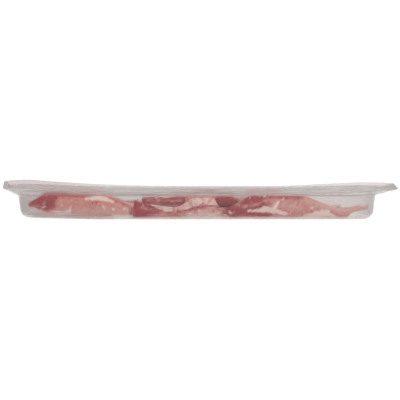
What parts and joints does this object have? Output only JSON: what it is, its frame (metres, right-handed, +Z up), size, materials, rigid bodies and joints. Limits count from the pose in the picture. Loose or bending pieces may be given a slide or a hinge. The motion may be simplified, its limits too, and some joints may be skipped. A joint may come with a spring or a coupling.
{
  "type": "pack of sliced cured pork neck",
  "caption": "Shallow hazy plastic tray with a wide, end-lifted flange and a clear sealed film, holding loosely folded slices of marbled cured pork neck.",
  "frame": {"origin": "on the ground under the middle of the pack's outline", "axes": "+X along the long side towards the wider flange, +Y from the long side seen in the picture to the far one, +Z up"},
  "size_m": [0.24, 0.15, 0.0211],
  "materials": {
    "tray_plastic": "thin hazy thermoformed sheet, soft sheen",
    "lid_film": "clear glossy sealing film",
    "cured_meat": "moist cured meat, red lean marbled with pale fat, soft sheen"
  },
  "bodies": {
    "root": {"tray": "tray_plastic", "lid_film": "lid_film", "slice_front_left": "cured_meat", "slice_front_middle": "cured_meat", "slice_front_right": "cured_meat", "slice_front_low": "cured_meat", "slice_middle_1": "cured_meat", "slice_middle_2": "cured_meat", "slice_middle_3": "cured_meat", "slice_back_left": "cured_meat", "slice_back_middle": "cured_meat", "slice_back_right": "cured_meat", "slice_back_low": "cured_meat"}
  },
  "joints": []
}
